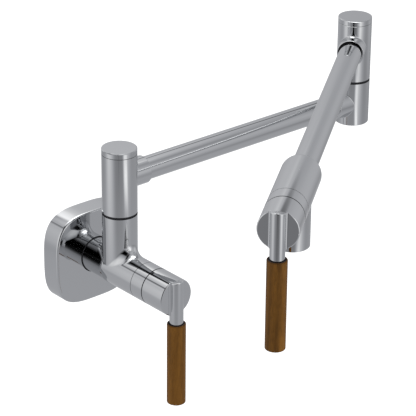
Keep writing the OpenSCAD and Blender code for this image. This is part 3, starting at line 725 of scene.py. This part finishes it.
class FaucetFinish(bpy.types.PropertyGroup):
    """Colours and gloss of the faucet's finishes."""

    chrome_colour: colour_setting("Chrome", "Colour of the chrome plating", (0.592, 0.60, 0.612))
    chrome_roughness: bpy.props.FloatProperty(
        name="Chrome roughness",
        description="Least roughness of the chrome plating",
        subtype="FACTOR",
        min=0,
        max=1,
        default=0.03,
    )
    mark_size: bpy.props.FloatProperty(
        name="Wipe marks", description="Number of wipe marks to a metre of chrome", min=1, default=40.0
    )
    wood_light: colour_setting(
        "Light wood", "Colour of the wood between its dark layers", (0.2, 0.086, 0.0125)
    )
    wood_dark: colour_setting("Dark wood", "Colour of the wood's dark layers", (0.122, 0.05, 0.0062))
    wood_pore: colour_setting(
        "Wood pores", "Colour of the pores and of the sealed ends", (0.06, 0.024, 0.0035)
    )
    layer_spacing: bpy.props.FloatProperty(
        name="Growth layers",
        description="Spacing of the wood's growth layers",
        unit="LENGTH",
        min=0.0005,
        default=0.0045,
    )
    rubber_colour: colour_setting(
        "Rubber", "Colour of the seals, washers and sleeve rings", (0.004, 0.004, 0.0045)
    )
    brass_colour: colour_setting("Brass", "Colour of the hidden brass parts", (0.72, 0.50, 0.22))
    steel_colour: colour_setting("Steel", "Colour of the bracket, screws and clips", (0.52, 0.52, 0.53))


class FaucetStudio(bpy.types.PropertyGroup):
    """The light, the floor and the surroundings that the chrome mirrors."""

    tent_radius: bpy.props.FloatProperty(
        name="Tent radius",
        description="Radius of the grey studio tent that only the metal mirrors",
        unit="LENGTH",
        min=1.0,
        default=1.1,
    )
    # These three levels come from the program that fitted the tent's patches
    tent_level: bpy.props.FloatProperty(
        name="Tent level", description="Brightness of the tent's plain grey", min=0, default=0.54
    )
    tent_below: bpy.props.FloatProperty(
        name="Tent fall", description="How much darker the tent gets down to its lowest point", default=0.05
    )
    tent_above: bpy.props.FloatProperty(
        name="Tent rise", description="How much brighter the tent gets up to its highest point", default=-0.5
    )
    tent_tint: colour_setting("Tent tint", "Colour of the tent's grey", (0.99, 1.0, 1.04), brightest=2)
    lamp_power: bpy.props.FloatProperty(
        name="Lamps", description="Power of each soft lamp", subtype="POWER", min=0, default=6.0
    )
    ambient: bpy.props.FloatProperty(
        name="Room light", description="Plain light from all round", min=0, default=0.8
    )
    floor_height: bpy.props.FloatProperty(
        name="Floor", description="Height of the floor", unit="LENGTH", default=-1.4
    )


# Operators for the finishes


def arm_way(name):
    """The level direction from the elbow's axis to a node on the second arm."""
    apart = middle_of(name) - middle_of("elbow_cap")
    return Vector((apart.x, apart.y, 0)).normalized()


class FAUCET_OT_castings(bpy.types.Operator):
    """Chrome the second valve body, the swivel housings and the elbow's base"""

    bl_idname = "faucet.castings"
    bl_label = "Chrome the castings"

    def execute(self, context):
        dress(("valve_body_2",), barrel_chrome(2))
        dress(("post_housing",), swivel_chrome("post"))
        dress(("elbow_base", "elbow_housing"), swivel_chrome("elbow"))
        return {"FINISHED"}


class FAUCET_OT_plate(bpy.types.Operator):
    """Chrome the wall plate and round its sides and front edge"""

    bl_idname = "faucet.plate"
    bl_label = "Round the wall plate"

    def execute(self, context):
        rounded_copy("wall_plate", "wall", rim_normals, plate_chrome())
        return {"FINISHED"}


class FAUCET_OT_blends(bpy.types.Operator):
    """Chrome the first valve body and the collars, and round their blends"""

    bl_idname = "faucet.blends"
    bl_label = "Round the blends"

    def execute(self, context):
        post, elbow = middle_of("post_cap"), middle_of("elbow_cap")
        low, high = middle_of("arm_1_tube").z, middle_of("arm_2_collar").z
        out = Vector((1, 0, 0))

        def barrel(lengthwise):
            share = np.clip((-post.y - lengthwise - WIDENS_AT) / WIDENS_OVER, 0, 1)
            return WALL_TUBE_R + (BARREL_R - WALL_TUBE_R) * share

        def housing(lengthwise):
            return np.full_like(lengthwise, POST_R)

        crotch = blend_normals((post.x, post.y, 0), UP, (0, 1, 0), POST_R, barrel, CROTCH_R, BARREL_R)
        rounded_copy("valve_body_1", "wall", crotch, barrel_chrome(1))
        for name, body, axis, height, along in (
            ("arm_1_collar_post", "arm_1", post, low, out),
            ("arm_1_collar_elbow", "arm_1", elbow, low, -out),
            ("arm_2_collar", "arm_2", elbow, high, arm_way("arm_2_collar")),
        ):
            foot = (axis.x, axis.y, height)
            fillet = blend_normals(foot, along, UP, COLLAR_R, housing, FILLET_R, POST_R)
            rounded_copy(name, body, fillet, collar_chrome(name, foot, along))
        return {"FINISHED"}


class FAUCET_OT_edges(bpy.types.Operator):
    """Chrome the lever hubs and the caps, and round their front edges"""

    bl_idname = "faucet.edges"
    bl_label = "Round the edges"

    def execute(self, context):
        elbow = middle_of("elbow_cap")
        upper = Vector((elbow.x, elbow.y, middle_of("bonnet_2").z))
        for number, foot, along in ((1, (0, 0, 0), (0, -1, 0)), (2, upper, arm_way("bonnet_2"))):
            rule = edge_normals(foot, along, BARREL_R, *HUB_EDGE)
            rounded_copy(f"lever_hub_{number}", f"lever_{number}", rule, barrel_chrome(number))
        for swivel, body, edge in (("post", "arm_1", POST_CAP_EDGE), ("elbow", "arm_2", ELBOW_CAP_EDGE)):
            axis = middle_of(f"{swivel}_cap")
            rule = edge_normals((axis.x, axis.y, 0), UP, POST_R, *edge)
            rounded_copy(f"{swivel}_cap", body, rule, swivel_chrome(swivel))
        return {"FINISHED"}


class FAUCET_OT_bonnets(bpy.types.Operator):
    """Chrome the two bonnets"""

    bl_idname = "faucet.bonnets"
    bl_label = "Chrome the bonnets"

    def execute(self, context):
        for number in (1, 2):
            dress((f"bonnet_{number}",), barrel_chrome(number))
        return {"FINISHED"}


class FAUCET_OT_tubes(bpy.types.Operator):
    """Chrome the two arm tubes"""

    bl_idname = "faucet.tubes"
    bl_label = "Chrome the arm tubes"

    def execute(self, context):
        dress(TUBES, chrome())
        return {"FINISHED"}


class FAUCET_OT_sleeves(bpy.types.Operator):
    """Give each lever's sleeve its own piece of wood"""

    bl_idname = "faucet.sleeves"
    bl_label = "Finish the sleeves"

    def execute(self, context):
        finish = context.scene.faucet_finish
        colours = finish.wood_light, finish.wood_dark, finish.wood_pore
        for number, (name, (turn, strengths, sides)) in enumerate(zip(SLEEVES, SLEEVE_WOOD), start=1):
            tones = [[strength * part for part in colour] for strength, colour in zip(strengths, colours)]
            timber = wood(f"brown_wood_{number}", tones, finish.layer_spacing, name, turn, sides)
            dress((name,), timber)
        return {"FINISHED"}


class FAUCET_OT_seams(bpy.types.Operator):
    """Make the washers in the seams, the plate's seal and the sleeve rings black rubber"""

    bl_idname = "faucet.seams"
    bl_label = "Finish the seams"

    def execute(self, context):
        dress(SEAMS, rubber())
        return {"FINISHED"}


class FAUCET_OT_outlet(bpy.types.Operator):
    """Finish the aerator in the outlet's mouth"""

    bl_idname = "faucet.outlet"
    bl_label = "Finish the outlet"

    def execute(self, context):
        for name, material in zip(OUTLET, (chrome(), plastic(), rubber())):
            dress((name,), material)
        return {"FINISHED"}


class FAUCET_OT_inner(bpy.types.Operator):
    """Give every part that is hidden inside its own metal, rubber, ceramic or plastic"""

    bl_idname = "faucet.inner"
    bl_label = "Finish the inner parts"

    def execute(self, context):
        finish = context.scene.faucet_finish
        turned = {"tone": 0.12, "gloss": (0.18, 0.32), "mark_size": 60.0, "bump": 0.05}
        pressed = {"tone": 0.1, "gloss": (0.25, 0.42), "mark_size": 60.0, "bump": 0.05}
        glazed = {"gloss": (0.15, 0.25), "bump": 0.03}
        by_slot = {
            "brass": metal("turned_brass", finish.brass_colour, **turned),
            "steel": metal("plain_steel", finish.steel_colour, **pressed),
            "black_rubber": rubber(),
            "ceramic": moulded("white_ceramic", (0.80, 0.79, 0.76), (0.74, 0.73, 0.70), **glazed),
            "pale_plastic": plastic(),
        }
        outer = {*JOINTED, *TUBES, *SLEEVES, *SEAMS, *OUTLET}
        for name, piece in NODES.items():
            if name in outer:
                continue
            made_of = piece.material_slots[0].material.name.split(".")[0]
            if made_of not in by_slot:
                raise RuntimeError(f"{name} is of {made_of}, which has no finish here")
            dress((name,), by_slot[made_of])
        return {"FINISHED"}


# Operator for the stage


# Turn, lift and roll of the photo's camera in degrees, its sensor and lens in millimetres, and its place. A
# program fitted them to the object's outlines in the photo
CAMERA_TURN, CAMERA_LIFT, CAMERA_ROLL = -40.73946, 24.83337, 0.549
CAMERA_SENSOR, CAMERA_LENS = 36, 194.0485
CAMERA_PLACE = (-1.05034420609, -1.38363850051, 0.83974533994)
# The nearest and the furthest that the camera sees
CAMERA_NEAR, CAMERA_FAR = 0.1, 50
# Where each soft lamp stands, and how wide it is
LAMPS = {
    "lamp_left": ((-1.6, -1.2, 1.3), 1.2),
    "lamp_right": ((1.7, -1.4, 1.2), 1.2),
    "lamp_back": ((0.2, 1.6, 1.5), 1.4),
}
# Width, colour and own light of the floor
FLOOR_WIDTH, FLOOR_COLOUR, FLOOR_GLOW = 12, (0.9, 0.9, 0.9, 1), 0.5
# From which level of light the tent's tint fades, and by which it is gone
TINT_FADES, TINT_GONE = 0.5, 1.0


def panel_group():
    """A soft-edged panel on the tent, given by the direction of its middle, in degrees."""
    takes = {
        "Across": 0.0,
        "Up": 0.0,
        "Middle across": 0.0,
        "Half width": 10.0,
        "Side edge": 5.0,
        "Middle up": 0.0,
        "Half height": 10.0,
        "Top edge": 5.0,
        "Lean": 0.0,
    }
    build, into, end = new_group("soft_panel", takes, ("Mask",))

    def window(offset, half, edge):
        outer = build.math("ADD", into[half], into[edge])
        inner = build.math("SUBTRACT", into[half], into[edge])
        return build.spread(offset, outer, inner, interpolation_type="SMOOTHSTEP")

    lift = build.math("SUBTRACT", into["Up"], into["Middle up"])
    turn = build.math("SUBTRACT", into["Across"], into["Middle across"])
    turn = build.math("SUBTRACT", turn, build.math("MULTIPLY", lift, into["Lean"]))
    turn = build.math("ABSOLUTE", build.math("WRAP", turn, 180.0, -180.0))
    across = window(turn, "Half width", "Side edge")
    upwards = window(build.math("ABSOLUTE", lift), "Half height", "Top edge")
    return build.give(end, {"Mask": build.math("MULTIPLY", across, upwards)})


class Panel(NamedTuple):
    """A soft-edged patch of the tent: angles in degrees from its middle, and how bright or how black."""

    across: float
    up: float
    half_width: float
    half_height: float
    side_edge: float
    top_edge: float
    lean: float
    strength: float


PANEL_SOCKETS = ("Middle across", "Middle up", "Half width", "Half height", "Side edge", "Top edge", "Lean")

# What the chrome mirrors. Across is 0 straight in front of the wall and positive to the right, and lean is
# how many degrees a patch moves across for each degree up. These rows weren't chosen by hand: a program
# fitted them to the brightness of the chrome in the photo and rounded them. Their names are guesses
LIGHT_PANELS = {
    "left_window": Panel(-106, 9, 23, 28, 17.5, 11.5, -0.1, 0.55),
    "front_box": Panel(-4, 19, 21, 11, 6.5, 1, 0, 0.55),
    "front_low_strip": Panel(-6, -23, 9, 2, 9, 2.5, -2.3, 1.8),
    "front_tall_strip": Panel(7, -4, 1, 15, 32.5, 19.5, 0.5, 2),
    "ceiling": Panel(-6, 85, 144, 12, 2, 30, -0.9, 1.6),
    "left_rear_box": Panel(-150, 53, 39, 11, 6, 17, 1.6, 1.05),
    "right_rear_wall": Panel(143, 52, 45, 36, 34, 24, -1.1, 0.5),
    "right_strip": Panel(77, 2, 6, 16, 24, 9.5, -0.3, 0.4),
    "right_front_wall": Panel(46, 31, 59, 19, 13, 18, -0.4, 0.2),
    "rear_strip": Panel(-177, 38, 8, 1, 5.5, 5.5, 4, 0.55),
    "right_high_strip": Panel(47, 35, 3, 10, 2, 3.5, 1.8, 0.35),
    "left_spot": Panel(-132, 33, 5, 3, 4, 9, 0.8, 2.7),
    "front_high_box": Panel(16, 46, 28, 10, 16.5, 6.5, 0.6, 0.25),
    "right_low_box": Panel(136, -29, 9, 15, 3, 9.5, 0, 0.25),
    "rear_lamp": Panel(170, 75, 75, 13, 10, 3, 0, 2.5),
    "top_lamp": Panel(0, 90, 180, 14, 1, 3, 0, 2),
}
BLACK_CARDS = {
    "left_gap": Panel(-61, 27, 2, 42, 1, 9.5, -0.2, 0.9),
    "camera_stand": Panel(-46, 13, 16, 26, 9, 10.5, -0.1, 1),
    "right_boom": Panel(131, 40, 13, 5, 6.5, 3.5, 3.3, 0.7),
    "left_boom": Panel(-130, 39, 9, 13, 2, 5, 0.9, 0.65),
    "left_high_bar": Panel(-66, 45, 29, 6, 9.5, 3.5, 1.4, 0.95),
    "right_floor_line": Panel(92, -16, 55, 1, 13.5, 24.5, 0.5, 0.55),
    "right_high_shade": Panel(120, 44, 21, 25, 10, 11.5, -1.3, 0.15),
    "left_rear_shade": Panel(-163, -18, 20, 4, 30, 5.5, 1.7, 0.3),
    "rear_bar": Panel(-165, 36, 3, 5, 6, 1.5, -2, 0.6),
    "front_low_bar": Panel(-4, -24, 7, 3, 12, 1, -0.6, 0.45),
    "left_floor_line": Panel(-54, -17, 39, 4, 22, 24.5, -1.8, 0.7),
}


class FAUCET_OT_stage(bpy.types.Operator):
    """Set up the camera, the lamps, the floor and what the chrome mirrors"""

    bl_idname = "faucet.stage"
    bl_label = "Set up the studio"

    def tent_glow(self, studio):
        """A material that only gives off light, stronger and weaker at the tent's patches."""
        material = bpy.data.materials.new("tent_grey")
        material.use_nodes = True
        material.cycles.emission_sampling = "NONE"
        tree = material.node_tree
        tree.nodes.remove(tree.nodes["Principled BSDF"])
        build = Nodes(tree)
        split = build.split(build.place())
        towards = build.math("MULTIPLY", split["Y"], -1.0)
        across = build.math("MULTIPLY", build.math("ARCTAN2", split["X"], towards), math.degrees(1))
        height = build.math("DIVIDE", split["Z"], studio.tent_radius)
        up = build.math("MULTIPLY", build.math("ARCSINE", height), math.degrees(1))

        def mask(patch):
            values = {"Across": across, "Up": up, **dict(zip(PANEL_SOCKETS, patch))}
            return build.group("soft_panel", panel_group, values)["Mask"]

        below = build.math("MINIMUM", up, 0.0)
        above = build.math("MAXIMUM", up, 0.0)
        level = build.math("MULTIPLY_ADD", below, studio.tent_below / 90, studio.tent_level)
        level = build.math("MULTIPLY_ADD", above, studio.tent_above / 90, level)
        for patch in LIGHT_PANELS.values():
            level = build.math("MULTIPLY_ADD", mask(patch), patch.strength, level)
        for patch in BLACK_CARDS.values():
            left = build.math("MULTIPLY_ADD", mask(patch), -patch.strength, 1.0)
            level = build.math("MULTIPLY", level, left)
        bright = build.spread(level, TINT_FADES, TINT_GONE)
        tint = build.mixed(bright, (*studio.tent_tint, 1), (1, 1, 1, 1))
        light = build.add("ShaderNodeEmission", {"Color": tint, "Strength": level}).outputs[0]
        build.give(tree.nodes["Material Output"].inputs, {"Surface": light})
        return material

    def tent(self, studio):
        bpy.ops.mesh.primitive_uv_sphere_add(
            segments=128, ring_count=64, radius=studio.tent_radius, location=OBJECT_MIDDLE
        )
        tent = bpy.context.object
        tent.name = "studio_tent"
        tent.data.materials.append(self.tent_glow(studio))
        tent.visible_camera = False
        tent.visible_diffuse = False
        tent.visible_shadow = False
        tent.visible_volume_scatter = False

    def floor(self, studio):
        bpy.ops.object.select_all(action="DESELECT")
        bpy.ops.mesh.primitive_plane_add(size=FLOOR_WIDTH, location=(0, 0, studio.floor_height))
        bpy.ops.object.transform_apply(location=True, rotation=True, scale=True)
        floor = bpy.context.object
        floor.name = "studio_floor"
        material = bpy.data.materials.new("pale_floor")
        material.use_nodes = True
        tree = material.node_tree
        tree.nodes.remove(tree.nodes["Principled BSDF"])
        build = Nodes(tree)
        matt = build.add("ShaderNodeBsdfDiffuse", {"Color": FLOOR_COLOUR}).outputs[0]
        seen = self.seen(build, "Is Camera Ray", "Is Transmission Ray", "Is Glossy Ray")
        strength = build.math("MULTIPLY", seen, FLOOR_GLOW)
        lift = build.add("ShaderNodeEmission", {"Strength": strength}).outputs[0]
        both = build.add("ShaderNodeAddShader", {0: matt, 1: lift}).outputs[0]
        build.give(tree.nodes["Material Output"].inputs, {"Surface": both})
        floor.data.materials.append(material)
        floor.visible_glossy = False

    def seen(self, build, first, *others):
        """Whether a ray is of one of these kinds."""
        rays = build.add("ShaderNodeLightPath").outputs
        any_of = rays[first]
        for other in others:
            any_of = build.math("MAXIMUM", any_of, rays[other])
        return any_of

    def lamps(self, studio):
        for name, (place, size) in LAMPS.items():
            data = bpy.data.lights.new(name, "AREA")
            data.shape = "SQUARE"
            data.size = size
            data.energy = studio.lamp_power
            lamp = bpy.data.objects.new(name, data)
            lamp.location = place
            aim = OBJECT_MIDDLE - lamp.location
            lamp.rotation_euler = aim.to_track_quat("-Z", "Y").to_euler()
            lamp.visible_glossy = False
            bpy.context.scene.collection.objects.link(lamp)

    def world(self, studio):
        world = bpy.data.worlds.new("white_room")
        bpy.context.scene.world = world
        world.use_nodes = True
        build = Nodes(world.node_tree)
        seen = self.seen(build, "Is Camera Ray", "Is Glossy Ray", "Is Transmission Ray")
        level = build.math("MULTIPLY_ADD", seen, 1.0 - studio.ambient, studio.ambient)
        light = world.node_tree.nodes["Background"]
        light.inputs["Color"].default_value = (1, 1, 1, 1)
        build.give(light.inputs, {"Strength": level})

    def camera(self):
        turn, lift, roll = (math.radians(angle) for angle in (CAMERA_TURN, CAMERA_LIFT, CAMERA_ROLL))
        back = Vector((math.sin(turn) * math.cos(lift), -math.cos(turn) * math.cos(lift), math.sin(lift)))
        level = Vector((math.cos(turn), math.sin(turn), 0))
        upright = back.cross(level)
        right = math.cos(roll) * level + math.sin(roll) * upright
        top = -math.sin(roll) * level + math.cos(roll) * upright
        data = bpy.data.cameras.new("photo_camera")
        data.sensor_width = CAMERA_SENSOR
        data.lens = CAMERA_LENS
        data.clip_start = CAMERA_NEAR
        data.clip_end = CAMERA_FAR
        camera = bpy.data.objects.new("photo_camera", data)
        facing = Matrix((right, top, back)).transposed().to_4x4()
        camera.matrix_world = Matrix.Translation(CAMERA_PLACE) @ facing
        bpy.context.scene.collection.objects.link(camera)
        bpy.context.scene.camera = camera

    def execute(self, context):
        studio = context.scene.faucet_studio
        self.camera()
        self.tent(studio)
        self.floor(studio)
        self.lamps(studio)
        self.world(studio)
        context.scene.view_settings.view_transform = "Standard"
        return {"FINISHED"}


class FAUCET_PT_sidebar(bpy.types.Panel):
    """The faucet's finishes and studio in the 3D view's sidebar"""

    bl_idname = "FAUCET_PT_sidebar"
    bl_label = "Jointed wall faucet"
    bl_space_type = "VIEW_3D"
    bl_region_type = "UI"
    bl_category = "Faucet"

    def draw(self, context):
        column = self.layout.column()
        for settings in (context.scene.faucet_finish, context.scene.faucet_studio):
            for name in settings.__annotations__:
                column.prop(settings, name)
        for operator in OPERATORS:
            column.operator(operator.bl_idname)


OPERATORS = (
    FAUCET_OT_castings,
    FAUCET_OT_plate,
    FAUCET_OT_blends,
    FAUCET_OT_edges,
    FAUCET_OT_bonnets,
    FAUCET_OT_tubes,
    FAUCET_OT_sleeves,
    FAUCET_OT_seams,
    FAUCET_OT_outlet,
    FAUCET_OT_inner,
    FAUCET_OT_stage,
)
CLASSES = (FaucetFinish, FaucetStudio, *OPERATORS, FAUCET_PT_sidebar)


def register():
    for one in CLASSES:
        bpy.utils.register_class(one)
    bpy.types.Scene.faucet_finish = bpy.props.PointerProperty(type=FaucetFinish)
    bpy.types.Scene.faucet_studio = bpy.props.PointerProperty(type=FaucetStudio)


def unregister():
    del bpy.types.Scene.faucet_studio
    del bpy.types.Scene.faucet_finish
    for one in reversed(CLASSES):
        bpy.utils.unregister_class(one)


def main():
    register()
    bpy.ops.faucet.castings()
    bpy.ops.faucet.plate()
    bpy.ops.faucet.blends()
    bpy.ops.faucet.edges()
    bpy.ops.faucet.bonnets()
    bpy.ops.faucet.tubes()
    bpy.ops.faucet.sleeves()
    bpy.ops.faucet.seams()
    bpy.ops.faucet.outlet()
    bpy.ops.faucet.inner()
    bpy.ops.faucet.stage()


if __name__ == "__main__":
    main()
